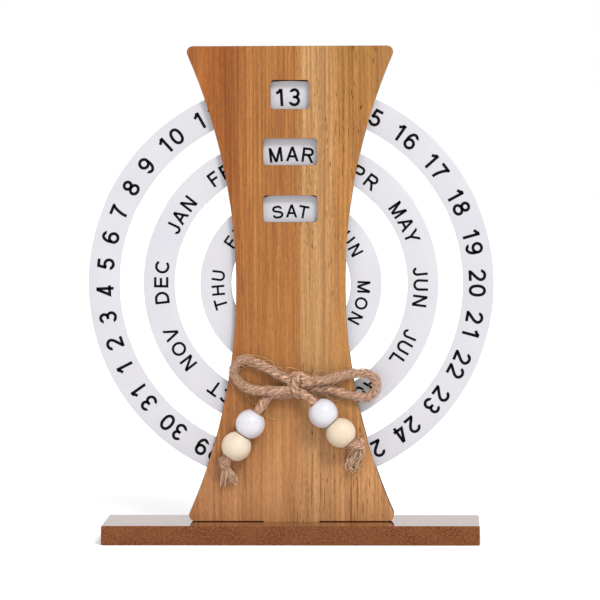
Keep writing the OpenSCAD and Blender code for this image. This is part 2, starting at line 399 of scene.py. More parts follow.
def bumped(tree, main, height, name):
    inputs = {"Height": height, "Distance": SURFACES[name][2] * MM, "Strength": 1.0}
    tree.links.new(add_node(tree, "Bump", inputs).outputs["Normal"], main.inputs["Normal"])


def paint(tree, main, colour):
    tree.links.new(colour, main.inputs["Base Color"])


# Tones across the panels from left to right, as (place in mm, colour), before the grain is laid on
WOOD_TONES = [
    (-44, (0.3, 0.105, 0.027)), (-33, (0.3, 0.103, 0.02)), (-27, (0.275, 0.088, 0.014)),
    (-20, (0.305, 0.112, 0.025)), (-12, (0.345, 0.145, 0.035)), (-5, (0.325, 0.131, 0.032)),
    (2.2, (0.303, 0.117, 0.027)), (4.4, (0.395, 0.205, 0.078)), (8, (0.405, 0.218, 0.086)),
    (13, (0.395, 0.212, 0.084)), (17, (0.39, 0.195, 0.069)), (21, (0.355, 0.158, 0.042)),
    (27, (0.385, 0.178, 0.049)), (32, (0.385, 0.176, 0.048)), (44, (0.41, 0.205, 0.08)),
]
WOOD_HALF_WIDTH = 44
GRAIN_WANDER = 0.004

# Where the wood changes over its height and width: two places, and the strength at each
# The first of these paints the wood paler towards its foot: painted light bounced up from the base's glossy top
FOOT_BOUNCE_LIGHT = (12 * MM, 85 * MM, 0.65, 0.0)
UPPER_LEFT = ((110 * MM, 190 * MM), (-34 * MM, -12 * MM, 0.7, 0.0))
UPPER_RIGHT = ((140 * MM, 200 * MM), (12 * MM, 25 * MM))
FINE_LINES_UP = (80 * MM, 150 * MM, 0.25, 1.0)
PORES_ACROSS = (-4 * MM, 8 * MM, 0.35, 1.0)

# One dark fleck near the panel's right edge
FLECK_PLACE = (29.2 * MM, PANEL_FRONT, 178.7 * MM)
FLECK_TILT = (0, math.radians(20), 0)
FLECK_SIZE = (0.45 * MM, 2 * MM, 1.1 * MM)
FLECK_FADE = (0.7, 1.1, 0.9, 0.0)


def wood_material():
    """Varnished light hardwood: broad upright bands, fine grain, dark streaks and short pores, with painted bounce
    light that makes its foot paler.
    """
    material, tree, main = shader("panel_wood")
    coords = object_coords(tree)
    places = add_node(tree, "SeparateXYZ", {"Vector": coords}).outputs
    across = places["X"]
    height = places["Z"]
    wander = arithmetic(tree, "SUBTRACT", noisy(tree, "wood_wander"), 0.5)
    wandering = arithmetic(tree, "ADD", across, times(tree, wander, GRAIN_WANDER))
    half = WOOD_HALF_WIDTH * MM
    inputs = {"Value": wandering, "From Min": -half, "From Max": half}
    position = add_node(tree, "MapRange", inputs).outputs["Result"]
    stops = [((x + WOOD_HALF_WIDTH) / (2 * WOOD_HALF_WIDTH), tone) for x, tone in WOOD_TONES]
    colour = ramp(tree, position, stops)

    # Paler towards the foot: painted light bounced up from the base's glossy top
    colour = blended(tree, spread(tree, height, *FOOT_BOUNCE_LIGHT), colour, BOUNCE_LIT_WOOD)
    for (up, along), tint in ((UPPER_LEFT, UPPER_LEFT_TINT), (UPPER_RIGHT, UPPER_RIGHT_TINT)):
        shade = times(tree, spread(tree, height, *up), spread(tree, across, *along))
        colour = tinted(tree, shade, colour, tint)

    colour = tinted(tree, patchy(tree, "wood_bands"), colour, BAND_TINT)
    lines = patchy(tree, "wood_lines")
    colour = tinted(tree, 1.0, colour, toned(tree, lines, "wood_lines"))
    mottle = patchy(tree, "wood_mottle")
    colour = tinted(tree, 1.0, colour, toned(tree, mottle, "wood_mottle"))
    fine_lines = toned(tree, patchy(tree, "wood_fine_lines"), "wood_fine_lines")
    colour = tinted(tree, spread(tree, height, *FINE_LINES_UP), colour, fine_lines)

    streak_groups = patchy(tree, "wood_streak_groups")
    streaked = times(tree, patchy(tree, "wood_streaks"), streak_groups)
    colour = blended(tree, streaked, colour, STREAK)
    pore_groups = patchy(tree, "wood_pore_groups")
    right_half = spread(tree, across, *PORES_ACROSS)
    pored = times(tree, patchy(tree, "wood_pores"), pore_groups, right_half)
    colour = blended(tree, pored, colour, PORE)

    fleck = {"Location": FLECK_PLACE, "Rotation": FLECK_TILT, "Scale": FLECK_SIZE}
    inputs = {"Vector": coords, **fleck}
    near = add_node(tree, "Mapping", inputs, vector_type="TEXTURE").outputs["Vector"]
    distance = add_node(tree, "VectorMath", {0: near}, operation="LENGTH").outputs["Value"]
    colour = blended(tree, spread(tree, distance, *FLECK_FADE), colour, PORE)
    paint(tree, main, colour)
    bumped(tree, main, arithmetic(tree, "SUBTRACT", lines, pored), "panel_wood")
    return material


def cut_edge_material(name):
    """Laser-cut edge, with the sheet's layers just showing through the scorch. Its spacer copy is near-black: scorch
    and painted shade.
    """
    material, tree, main = shader(name)
    layers = patchy(tree, "edge_layers")
    scorch = patchy(tree, "edge_scorch")
    paint(tree, main, blended(tree, scorch, toned(tree, layers, name), TONES[name][0]))
    bumped(tree, main, layers, name)
    return material


def window_edge_material():
    """Cut edge of the windows: brown, with the sheet's layers showing."""
    material, tree, main = shader("window_edge")
    layers = patchy(tree, "window_layers")
    paint(tree, main, toned(tree, layers, "window_edge"))
    bumped(tree, main, layers, "window_edge")
    return material


def board_material(name):
    """Brown fibreboard with a fine speckle."""
    material, tree, main = shader(name)
    fibres = patchy(tree, "board_fibres")
    colour = toned(tree, fibres, "board")
    colour = blended(tree, patchy(tree, "board_clouds"), colour, BOARD_CLOUD)
    colour = blended(tree, patchy(tree, "board_chips"), colour, BOARD_CHIP)
    paint(tree, main, colour)
    bumped(tree, main, fibres, name)
    return material


def lacquer_material():
    """Satin white lacquer on the rings, with a faint mottle."""
    material, tree, main = shader("ring_lacquer")
    paint(tree, main, toned(tree, patchy(tree, "lacquer_mottle"), "ring_lacquer"))
    bumped(tree, main, noisy(tree, "lacquer_peel"), "ring_lacquer")
    return material


def ink_material():
    """Black printed ink that is slightly uneven."""
    material, tree, main = shader("ink")
    paint(tree, main, toned(tree, noisy(tree, "ink_cover"), "ink"))
    return material


def white_bead_material():
    """Thick gloss paint on wood."""
    material, tree, main = shader("white_bead_paint", BEAD_COAT)
    paint(tree, main, toned(tree, patchy(tree, "paint_depth"), "white_bead_paint"))
    bumped(tree, main, noisy(tree, "paint_ripple"), "white_bead_paint")
    return material


def natural_bead_material():
    """Pale turned wood under a thin varnish."""
    material, tree, main = shader("natural_bead_wood")
    rings = patchy(tree, "bead_rings")
    colour = toned(tree, rings, "natural_bead_wood")
    paint(tree, main, blended(tree, patchy(tree, "bead_warmth"), colour, WARM_BEAD))
    bumped(tree, main, rings, "natural_bead_wood")
    return material


def jute_material(name):
    """Jute fibres. The Lay map runs round and along each ply, and the fibres follow it."""
    material, tree, main = shader(name, JUTE_SHEEN)
    lay = add_node(tree, "UVMap", uv_map="Lay").outputs["UV"]
    fibres = patchy(tree, "jute_fibres", lay)
    clouds = patchy(tree, "jute_clouds")
    paint(tree, main, blended(tree, clouds, toned(tree, fibres, name), HAZE[name]))
    bumped(tree, main, fibres, name)
    return material


def glue_material():
    """Clear hot glue that has gone slightly milky."""
    material, tree, main = shader("glue")
    milk = noisy(tree, "glue_milk")
    paint(tree, main, toned(tree, milk, "glue"))
    bumped(tree, main, milk, "glue")
    return material


WOOD = wood_material()
CUT_EDGE = cut_edge_material("cut_edge")
# The spacers' edges: scorch, made near-black as painted shade where they show between the rings
SCORCH_AND_SHADE_EDGE = cut_edge_material("scorch_and_shade_edge")
WINDOW_EDGE = window_edge_material()
BOARD_EDGE = board_material("board_edge")
BOARD_TOP = board_material("board_top")
LACQUER = lacquer_material()
INK = ink_material()
WHITE_PAINT = white_bead_material()
BEAD_WOOD = natural_bead_material()
JUTE = jute_material("jute")
LOOSE_JUTE = jute_material("loose_jute")
GOLD_FIBRE = jute_material("gold_fibre")
GLUE = glue_material()


# ---------------------------------------------------------------- mesh helpers


def place_piece(name, mesh, materials, body, slot, replaced=()):
    """Links a mesh as a piece that rides on a body, and hides the CAD nodes that it stands for."""
    for material in materials:
        mesh.materials.append(material)
    piece = linked(name, mesh)
    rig.ride(piece, body)
    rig.slot(piece, slot)
    if replaced:
        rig.replaces(piece, *replaced)
    return piece


NEARLY_ALONG = 0.9
SHORTEST = 1e-12


class Shell:
    """Vertices, faces and a Lay map gathered from several closed tubes for one mesh."""

    def __init__(self):
        self.points = []
        self.faces = []
        self.lay = []

    def add_tube(self, line, radius, sides, twist=0.0):
        """A tube along line. radius(i, angle) is its radius at ring i and angle."""
        first = len(self.points)
        along = 0.0
        for i, (point, side, front) in enumerate(frames_along(line)):
            if i:
                along += (line[i] - line[i - 1]).length
            for k in range(sides):
                angle = 2 * math.pi * k / sides
                turned = angle + twist * along
                out = side * math.cos(turned) + front * math.sin(turned)
                self.points.append(point + out * radius(i, angle))
                self.lay.append((k / sides, along / MM))
        rings = len(line)
        for i in range(rings - 1):
            for k in range(sides):
                a = first + i * sides + k
                b = first + i * sides + (k + 1) % sides
                self.faces.append((a, b, b + sides, a + sides))
        self.faces.append(tuple(first + k for k in reversed(range(sides))))
        last = first + (rings - 1) * sides
        self.faces.append(tuple(last + k for k in range(sides)))

    def mesh(self, name):
        made = bpy.data.meshes.new(name)
        made.from_pydata([tuple(p) for p in self.points], [], self.faces)
        layer = made.uv_layers.new(name="Lay")
        for loop in made.loops:
            layer.data[loop.index].uv = self.lay[loop.vertex_index]
        made.shade_smooth()
        made.update()
        return made


def frames_along(line):
    """Each point of line with two directions square to it, which turn as little as they can."""
    ended = [line[0], *line, line[-1]]
    headings = [(after - before).normalized() for before, after in zip(ended, ended[2:])]
    start = FRONT if abs(headings[0].dot(FRONT)) < NEARLY_ALONG else UP
    side = headings[0].cross(start).normalized()
    for point, heading in zip(line, headings):
        side = (side - heading * side.dot(heading)).normalized()
        yield point, side, heading.cross(side)


def curve_point(a, b, c, d, t):
    """The point at t, from 0 to 1, between b and c on a smooth curve through a, b, c and d."""
    return 0.5 * (
        2 * b + (c - a) * t + (2 * a - 5 * b + 4 * c - d) * t**2 + (3 * b - a - 3 * c + d) * t**3
    )


def smooth_route(points, steps):
    """A smooth curve through points, with steps points for each stretch between two of them."""
    ended = [points[0], *points, points[-1]]
    line = []
    for stretch in zip(ended, ended[1:], ended[2:], ended[3:]):
        line += [curve_point(*stretch, step / steps) for step in range(steps)]
    return line + [points[-1]]


def even_line(line, gap):
    """line again, with its points about gap apart."""
    lengths = [0.0]
    for a, b in zip(line, line[1:]):
        lengths.append(lengths[-1] + (b - a).length)
    count = max(2, round(lengths[-1] / gap))
    even = []
    i = 0
    for k in range(count + 1):
        target = lengths[-1] * k / count
        while i < len(line) - 2 and lengths[i + 1] < target:
            i += 1
        share = (target - lengths[i]) / max(lengths[i + 1] - lengths[i], SHORTEST)
        even.append(line[i].lerp(line[i + 1], share))
    return even


def line_length(line):
    return sum((b - a).length for a, b in zip(line, line[1:]))


def from_panel(x, out, up):
    """The point x to the right of the rings' centre, out from the front panel and up, in mm."""
    return Vector((x * MM, PANEL_FRONT - out * MM, RING_CENTRE.z + up * MM))


def on_panel(places):
    return [from_panel(*place) for place in places]


# ---------------------------------------------------------------- twine

TWINE_D = 3.2 * MM
TWINE_R = TWINE_D / 2
PLIES = 3
PLY_OFFSET = 0.55
PLY_RADIUS = 0.60
PLY_PITCH = 8.5 * MM
PLY_SIDES = 16
PLY_SEED_STEP = 2.1
PLY_RIDGES = 6
RIDGE_DEPTH = 0.08
LUMP_DEPTH = 0.22
LUMP_RATE = 0.23
RING_GAP = 0.4 * MM
ROUTE_STEPS = 12


def ply_radius(seed, full, taper):
    """Radius of a ply at a ring and angle: ridged by its fibres, and uneven along its length."""

    def radius(i, angle):
        ridge = RIDGE_DEPTH * math.sin(PLY_RIDGES * angle + seed)
        lump = LUMP_DEPTH * noise.noise((i * LUMP_RATE, math.cos(angle) + seed, math.sin(angle)))
        return full * taper(i) * (1 + ridge + lump)

    return radius


def even_width(share):
    return 1.0


def add_twine(shell, line, seed, thickness=even_width, radius=TWINE_R):
    """Three plies laid round each other along line. thickness(share) thins the twine along it."""
    even = even_line(line, RING_GAP)
    last = len(even) - 1
    turn = -2 * math.pi / (PLY_PITCH * radius / TWINE_R)

    def taper(i):
        return thickness(i / last)

    for ply in range(PLIES):
        strand = []
        for i, (point, side, front) in enumerate(frames_along(even)):
            angle = 2 * math.pi * ply / PLIES + seed + turn * i * line_length(even) / last
            reach = radius * PLY_OFFSET * taper(i)
            strand.append(point + (side * math.cos(angle) + front * math.sin(angle)) * reach)
        ply_seed = seed + PLY_SEED_STEP * ply
        shell.add_tube(strand, ply_radius(ply_seed, radius * PLY_RADIUS, taper), PLY_SIDES)


HAIR_SIDES = 4
HAIR_STEPS = 7
HAIR_LEAST = 0.35
HAIR_ARCH = (0.15, 0.7)


def add_hair(shell, points, thick, steps=HAIR_STEPS):
    """One loose fibre through points, which tapers towards both ends."""
    line = smooth_route(points, steps)
    last = len(line) - 1

    def width(i, angle):
        arch = math.sin(math.pi * (HAIR_ARCH[0] + HAIR_ARCH[1] * i / last))
        return thick * (HAIR_LEAST + (1 - HAIR_LEAST) * arch)

    shell.add_tube(line, width, HAIR_SIDES)


FUZZ_REACH = (2 * MM, 8 * MM)
FUZZ_SWING = (-1.2, 0.5)
FUZZ_LIFTS = (0.15 * MM, 0.3 * MM, 0.3 * MM, 0.5 * MM, 0.9 * MM, 1.8 * MM)
FUZZ_JITTER = 0.25 * MM
FUZZ_ROOT = 1.02
FUZZ_POINTS = 4
FUZZ_CLEAR = 0.1 * MM
FUZZ_THICK = (0.05 * MM, 0.10 * MM)


def add_fuzz(shell, line, count, seed, radius=TWINE_R):
    """Short fibres that start on the twine and lift off it."""
    chance = random.Random(seed)
    frames = list(frames_along(even_line(line, RING_GAP)))
    last = len(frames) - 1
    for _ in range(count):
        start = chance.uniform(0, last)
        step = chance.choice((-1, 1)) * chance.uniform(*FUZZ_REACH) / RING_GAP / FUZZ_POINTS
        angle = chance.uniform(0, 2 * math.pi)
        swing = chance.uniform(*FUZZ_SWING)
        lift = chance.choice(FUZZ_LIFTS)
        points = []
        for k in range(FUZZ_POINTS + 1):
            share = k / FUZZ_POINTS
            point, side, front = frames[round(min(max(start + step * k, 0), last))]
            turned = angle + swing * share
            out = side * math.cos(turned) + front * math.sin(turned)
            jitter = chance.uniform(-1, 1) * FUZZ_JITTER
            points.append(point + out * (radius * FUZZ_ROOT + (lift + jitter) * share))
        for point in points:
            point.y = min(point.y, PANEL_FRONT - FUZZ_CLEAR)
        add_hair(shell, points, chance.uniform(*FUZZ_THICK))


# Centrelines of the twine, as (right, out, up) from the rings' centre on the panel, in mm
LEFT_LOOP = [
    (0, 3.6, -39.6), (-4, 3.4, -37.5), (-9.5, 2.4, -34.5), (-14.5, 1.9, -32), (-19, 1.8, -31),
    (-22.5, 1.8, -33), (-23.5, 1.8, -36.5), (-21.5, 1.9, -40), (-18, 2.8, -42.5),
    (-14, 4.4, -43.5), (-9, 5.2, -43.5), (-4.5, 5, -43.5), (0, 4.6, -43.2),
]
RIGHT_LOOP = [
    (5, 4.8, -40.5), (10, 4.8, -39.5), (15, 4.2, -39), (21, 2.8, -37.5), (27, 1.9, -36.5),
    (32, 1.8, -37), (35, 1.8, -40), (34.5, 1.8, -43.5), (31.5, 1.8, -46), (26.5, 1.8, -46),
    (21, 1.8, -44.5), (15, 1.8, -43), (10, 1.8, -42.5), (5, 1.8, -42),
]
LEFT_TAIL_START = [(1.5, 2.2, -45), (-4.5, 1.8, -45.2), (-9, 2.2, -46)]
RIGHT_TAIL_START = [(4, 4.8, -44)]
LEAD_IN = 7 * MM
LEAD_OUT = 6.5 * MM


def centre_of(node):
    low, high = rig.box(node)
    return (low + high) / 2


def tail_route(start, side):
    """From the knot, straight through both beads' bores and on to the stopper knot."""
    down = Vector(JOINTS[f"white_bead_{side}_spin"]["axis"])
    first = centre_of(f"white_bead_{side}")
    second = centre_of(f"natural_bead_{side}")
    stopper = centre_of(f"stopper_knot_{side}")
    through = [first - down * LEAD_IN, first, second, second + down * LEAD_OUT, stopper]
    return on_panel(start) + through


def twine_piece(name, route, seed, fuzz, thickness=even_width):
    """A length of twine and its own loose fibres, with its centreline."""
    line = smooth_route(route, ROUTE_STEPS)
    shell = Shell()
    add_twine(shell, line, seed, thickness)
    twine = place_piece(f"{name}_twine", shell.mesh(name), [JUTE], "stand", "twine", [name])
    hairs = Shell()
    add_fuzz(hairs, line, fuzz, seed)
    mesh = hairs.mesh(f"{name}_fibres")
    loose = place_piece(f"{name}_fibres", mesh, [LOOSE_JUTE], "stand", "twine")
    return twine, loose, line


# ---------------------------------------------------------------- beads

BEAD_LENGTH = 10.5 * MM
BEAD_BORE_R = 2 * MM
BEAD_MOUTH = 0.5 * MM
BEAD_SEGMENTS = 96
BEAD_ARC_STEPS = 40
BEAD_MOUTH_STEPS = 8
SHARP_ANGLE = math.radians(40)


def bead_profile(radius):
    """(radius, height) points round a bead's wall: the sphere, a rounded mouth and the bore."""
    half = BEAD_LENGTH / 2
    mouth_r = BEAD_BORE_R + BEAD_MOUTH
    flat_r = math.sqrt(radius**2 - half**2)
    top = math.acos(flat_r / radius)
    sphere = [
        (radius * math.cos(a), radius * math.sin(a))
        for a in (top * (2 * k / BEAD_ARC_STEPS - 1) for k in range(BEAD_ARC_STEPS + 1))
    ]
    mouth = [
        (mouth_r - BEAD_MOUTH * math.sin(a), half - BEAD_MOUTH * (1 - math.cos(a)))
        for a in (0.5 * math.pi * k / BEAD_MOUTH_STEPS for k in range(BEAD_MOUTH_STEPS + 1))
    ]
    return sphere + mouth + [(r, -z) for r, z in reversed(mouth)]


def lathe(name, profile, segments):
    """A closed profile of (radius, height) points turned about Z."""
    count = len(profile)
    points = []
    for s in range(segments):
        angle = 2 * math.pi * s / segments
        points += [(r * math.cos(angle), r * math.sin(angle), z) for r, z in profile]
    faces = []
    for s in range(segments):
        near = s * count
        far = (s + 1) % segments * count
        for k in range(count):
            after = (k + 1) % count
            faces.append((near + k, far + k, far + after, near + after))
    mesh = bpy.data.meshes.new(name)
    mesh.from_pydata(points, [], faces)
    mesh.shade_smooth()
    mesh.set_sharp_from_angle(angle=SHARP_ANGLE)
    mesh.update()
    return mesh


def add_bead(node, material, slot):
    low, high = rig.box(node)
    mesh = lathe(node, bead_profile((high.y - low.y) / 2), BEAD_SEGMENTS)
    axis = Vector(JOINTS[f"{node}_spin"]["axis"])
    turn = UP.rotation_difference(axis).to_matrix().to_4x4()
    mesh.transform(Matrix.Translation((low + high) / 2) @ turn)
    return place_piece(f"{node}_turned", mesh, [material], node, slot, [node])


beads = {
    side: [
        add_bead(f"white_bead_{side}", WHITE_PAINT, "white_bead"),
        add_bead(f"natural_bead_{side}", BEAD_WOOD, "natural_bead"),
    ]
    for side in ("left", "right")
}


# ---------------------------------------------------------------- knots and frayed ends

STOPPER_TWINE_R = 0.95 * MM
STOPPER_SIZE = 0.62 * MM
STOPPER_STEPS = 90
STOPPER_DEPTH = 1.6
STOPPER_SEED = 0.4


def add_stopper(side, tilt):
    """An overhand knot at the end of a tail: a trefoil, pulled tight."""
    node = f"stopper_knot_{side}"
    centre = centre_of(node)
    turn = Matrix.Rotation(math.radians(tilt), 3, "Y")
    line = []
    for k in range(STOPPER_STEPS + 1):
        t = 2 * math.pi * k / STOPPER_STEPS
        x = math.sin(t) + 2 * math.sin(2 * t)
        z = math.cos(t) - 2 * math.cos(2 * t)
        y = -STOPPER_DEPTH * math.sin(3 * t)
        line.append(centre + turn @ Vector((x, y, z)) * STOPPER_SIZE)
    shell = Shell()
    add_twine(shell, line, STOPPER_SEED, radius=STOPPER_TWINE_R)
    return place_piece(f"{node}_twine", shell.mesh(node), [JUTE], "stand", "twine", [node])


TASSEL_FIBRES = 40
TASSEL_STEPS = 5
TASSEL_HAIR_STEPS = 3
TASSEL_THICK = (0.16 * MM, 0.34 * MM)
TASSEL_REACH = (0.7, 1.05)
TASSEL_CLEAR = 0.25 * MM
TASSEL_TURN = 7
TASSEL_ROOT = 0.6
TASSEL_STRIDE = 2
CURL_DEPTH = 0.5


def add_tassel(side, lobes, width, curl, seed):
    """Untwisted fibres below a stopper knot. Each lobe is the route that its fibres follow."""
    node = f"frayed_end_{side}"
    start = centre_of(f"stopper_knot_{side}")
    chance = random.Random(seed)
    shell = Shell()
    for route in lobes:
        line = smooth_route([start] + on_panel(route), TASSEL_STEPS)
        for _ in range(TASSEL_FIBRES):
            scatter = Vector([chance.gauss(0, 1) for _ in range(3)])
            phase = chance.uniform(0, 2 * math.pi)
            count = max(3, round(len(line) * chance.uniform(*TASSEL_REACH)))
            points = []
            for k, point in enumerate(line[:count:TASSEL_STRIDE]):
                share = TASSEL_STRIDE * k / len(line)
                turn = phase + TASSEL_TURN * share
                wave = Vector((math.cos(turn), CURL_DEPTH * math.sin(turn), math.sin(turn)))
                spot = point + scatter * width * (TASSEL_ROOT + share) + wave * curl * share
                spot.y = min(spot.y, PANEL_FRONT - TASSEL_CLEAR)
                points.append(spot)
            add_hair(shell, points, chance.uniform(*TASSEL_THICK), TASSEL_HAIR_STEPS)
    mesh = shell.mesh(f"{node}_fibres")
    return place_piece(f"{node}_fibres", mesh, [LOOSE_JUTE], "stand", "twine", [node])


# Strands of the knot, as (right, out, up) from the rings' centre on the panel, in mm
KNOT_TURNS = [
    [(4.6, 1.6, -38.2), (4.2, 3.6, -37.2), (3, 5.4, -38), (2, 5.9, -40.2),
     (1.8, 5.8, -42.4), (2.6, 4.9, -44.6), (3.4, 2.6, -45.4)],
    [(0.2, 1.8, -38.9), (1.2, 3.2, -37.6), (3.8, 4.6, -37.5), (6.6, 5.2, -38.6), (8.6, 4.9, -40)],
    [(-1, 3.6, -39.9), (2.5, 3.2, -40.6), (6, 4.4, -40.8)],
    [(-1, 4.6, -43.3), (2, 3.4, -42.6), (6, 1.9, -42.1)],
    [(0.5, 2.2, -44.9), (2.5, 2.6, -43.6), (4.4, 4.6, -44)],
]
KNOT_SEED_STEP = 0.9
KNOT_FUZZ = 30
KNOT_FUZZ_SEED = 7


def add_bow_knot():
    """The middle of the bow: one turn over the strands that run through it."""
    shell = Shell()
    lines = [smooth_route(on_panel(turn), ROUTE_STEPS) for turn in KNOT_TURNS]
    for number, line in enumerate(lines):
        add_twine(shell, line, KNOT_SEED_STEP * number)
    add_fuzz(shell, lines[0], KNOT_FUZZ, KNOT_FUZZ_SEED)
    place_piece("bow_knot_twine", shell.mesh("bow_knot"), [JUTE], "stand", "twine", ["bow_knot"])


# Routes of the long loose fibres, as (right, out, up) from the rings' centre on the panel, in mm
STRAY_FIBRES = [
    [(-13.5, 3.5, -46), (-11.1, 1.5, -52.9), (-9.8, 1, -54.5), (-6.5, 0.7, -55.6),
     (-3.2, 0.6, -55.4), (-0.8, 0.6, -53.8)],
    [(-17, 3, -41), (-18.8, 2, -43.6), (-17.6, 1.4, -46.8), (-13.5, 1.5, -50)],
    [(8, 3, -43), (10.8, 1.8, -44.9), (18.2, 1.5, -47.7), (22.3, 1.8, -46.6)],
    [(36.6, 2.5, -42), (37.1, 2.5, -43.8), (33.4, 2, -48.2), (25.6, 1, -48.6)],
    [(33, 0.8, -57.5), (30.9, 1.2, -59.9), (28, 2, -62.2), (25.5, 3, -62.8)],
    [(-24.5, 2.5, -33.5), (-22.9, 2.6, -29.8), (-15.5, 2.6, -28.9), (-8.1, 1.6, -31.4),
     (-5.5, 2, -35)],
    [(9, 3, -37), (11.6, 2.4, -35.2), (19.9, 2, -36), (26.4, 1.6, -32.2)],
    [(-3, 3, -36), (-1, 3.4, -34), (3, 3.4, -35), (5.5, 3, -37.5)],
]
STRAY_R = 0.11 * MM
STRAY_STEPS = 8


def add_stray_fibres():
    """The long loose fibres that stand away from the bow."""
    shell = Shell()
    for route in STRAY_FIBRES:
        add_hair(shell, on_panel(route), STRAY_R, STRAY_STEPS)
    place_piece("stray_fibres", shell.mesh("stray_fibres"), [GOLD_FIBRE], "stand", "twine")


THIN_DEPTH = 0.2
THIN_REACH = 0.12


def thin_at(turn):
    """Thickness of a loop, which dips about the share turn of the way along."""

    def thickness(share):
        return 1 - THIN_DEPTH * math.exp(-(((share - turn) / THIN_REACH) ** 2))

    return thickness


LOOP_FUZZ = 300
TAIL_FUZZ = 130

# Side: (routes of the lobes, width of the bundle, size of the curls)
FRAYED_ENDS = {
    "left": (
        [
            [(-26.6, 4.2, -75.5), (-27, 3.4, -79), (-27.6, 2.4, -82.5)],
            [(-26.2, 4.2, -75.5), (-24.8, 3.4, -78.5), (-23, 2.4, -81.5)],
        ],
        0.62 * MM,
        0.50 * MM,
    ),
    "right": (
        [
            [(28.4, 4.4, -67.5), (27.2, 3.8, -71), (24.4, 2.6, -75.2)],
            [(28, 3.6, -67), (25.8, 3, -70.5), (24.6, 2.4, -73.5), (26.4, 2.6, -75)],
        ],
        0.75 * MM,
        1.2 * MM,
    ),
}


def add_bow():
    for name, route, seed, turn in (
        ("bow_loop_left", LEFT_LOOP, 1, 0.48),
        ("bow_loop_right", RIGHT_LOOP, 2, 0.5),
    ):
        loop, fibres, line = twine_piece(name, on_panel(route), seed, LOOP_FUZZ, thin_at(turn))
        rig.cord(
            loop,
            exit=line[0],
            length=line_length(line),
            diameter=TWINE_D,
            far_end="object",
            stiffness="limp",
            lay="loose",
            path=line,
            with_pieces=[fibres],
        )
    for side, start, seed, tilt in (
        ("left", LEFT_TAIL_START, 3, 20),
        ("right", RIGHT_TAIL_START, 4, -35),
    ):
        route = tail_route(start, side)
        tail, fibres, line = twine_piece(f"bow_tail_{side}", route, seed, TAIL_FUZZ)
        stopper = add_stopper(side, tilt)
        frayed = add_tassel(side, *FRAYED_ENDS[side], seed)
        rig.cord(
            tail,
            exit=line[0],
            length=line_length(line),
            diameter=TWINE_D,
            far_end="knot",
            stiffness="limp",
            lay="hanging",
            path=line,
            with_pieces=[fibres, stopper, frayed, *beads[side]],
        )


add_bow()
add_bow_knot()
add_stray_fibres()


# ---------------------------------------------------------------- boards

SOFT_EDGE = 0.2 * MM
SAME_POINT = 0.001 * MM
BEVEL_STEPS = 3
FLAT_ANGLE = math.radians(0.5)
CORNER_ANGLE = math.radians(30)
FLAT_FACE_WEIGHT = 100


def softened(node, edge):
    """A copy of a CAD node's mesh with its sharp edges rounded by edge, and its flat faces flat."""
    mesh = frame["nodes"][node].data.copy()
    mesh.materials.clear()
    work = bmesh.new()
    work.from_mesh(mesh)
    bmesh.ops.remove_doubles(work, verts=work.verts, dist=SAME_POINT)
    bmesh.ops.dissolve_limit(work, angle_limit=FLAT_ANGLE, verts=work.verts, edges=work.edges)
    bmesh.ops.recalc_face_normals(work, faces=work.faces)
    work.to_mesh(mesh)
    work.free()
    rough = linked(f"{node}_rough", mesh)
    bevel = rough.modifiers.new("bevel", "BEVEL")
    bevel.width = edge
    bevel.segments = BEVEL_STEPS
    bevel.limit_method = "ANGLE"
    bevel.angle_limit = CORNER_ANGLE
    weighted = rough.modifiers.new("weighted", "WEIGHTED_NORMAL")
    weighted.weight = FLAT_FACE_WEIGHT
    mesh.shade_smooth()
    graph = bpy.context.evaluated_depsgraph_get()
    made = bpy.data.meshes.new_from_object(rough.evaluated_get(graph))
    made.name = node
    bpy.data.objects.remove(rough)
    return made


def choose_faces(mesh, chooser):
    """Sets each face's material by chooser(face centre, face normal)."""
    for face in mesh.polygons:
        face.material_index = chooser(face.center, face.normal)


MOSTLY = 0.7
WINDOW_HALF = 12 * MM
TOP_EDGE = 1 * MM


def add_panel(node):
    """A panel: wood on its faces, scorched round its outside and browner in its windows."""
    mesh = softened(node, SOFT_EDGE)
    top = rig.box(node)[1].z - TOP_EDGE

    def chooser(centre, normal):
        if abs(normal.y) > MOSTLY:
            return 0
        in_window = abs(centre.x) < WINDOW_HALF and RING_CENTRE.z < centre.z < top
        return 2 if in_window else 1

    choose_faces(mesh, chooser)
    place_piece(f"{node}_board", mesh, [WOOD, CUT_EDGE, WINDOW_EDGE], "stand", "panel_wood", [node])


SPACERS = ["top_spacer", "upper_outer_guide", "upper_inner_guide", "centre_hub"]
SPACERS += ["lower_inner_guide", "lower_outer_guide", "bottom_spacer"]


def add_spacer(node):
    mesh = softened(node, SOFT_EDGE)
    choose_faces(mesh, lambda centre, normal: 0 if abs(normal.y) > MOSTLY else 1)
    # Spacer edges take the near-black edge material: scorch and painted shade between the rings
    place_piece(f"{node}_board", mesh, [WOOD, SCORCH_AND_SHADE_EDGE], "stand", "spacer_wood", [node])


BASE_EDGE = 0.5 * MM


def add_base():
    mesh = softened("base", BASE_EDGE)
    choose_faces(mesh, lambda centre, normal: 1 if normal.z > MOSTLY else 0)
    place_piece("base_board", mesh, [BOARD_EDGE, BOARD_TOP], "stand", "base_board", ["base"])


for panel in ("front_panel", "back_panel"):
    add_panel(panel)
for spacer in SPACERS:
    add_spacer(spacer)
add_base()
glue = frame["nodes"]["glue_dot"]
glue.data.materials.clear()
glue.data.materials.append(GLUE)


# ---------------------------------------------------------------- rings

RING_BAND = 12.7 * MM
RING_EDGE = 0.2 * MM
RING_EDGE_STEPS = 4
RING_SEGMENTS = 256


def rounded_rectangle(r_in, r_out, low, high, edge):
    """A rectangle of (radius, height) points with rounded corners."""
    corners = [
        (r_out - edge, low + edge, -90),
        (r_out - edge, high - edge, 0),
        (r_in + edge, high - edge, 90),
        (r_in + edge, low + edge, 180),
    ]
    points = []
    for r, z, start in corners:
        for k in range(RING_EDGE_STEPS + 1):
            angle = math.radians(start + 90 * k / RING_EDGE_STEPS)
            points.append((r + edge * math.cos(angle), z + edge * math.sin(angle)))
    return points


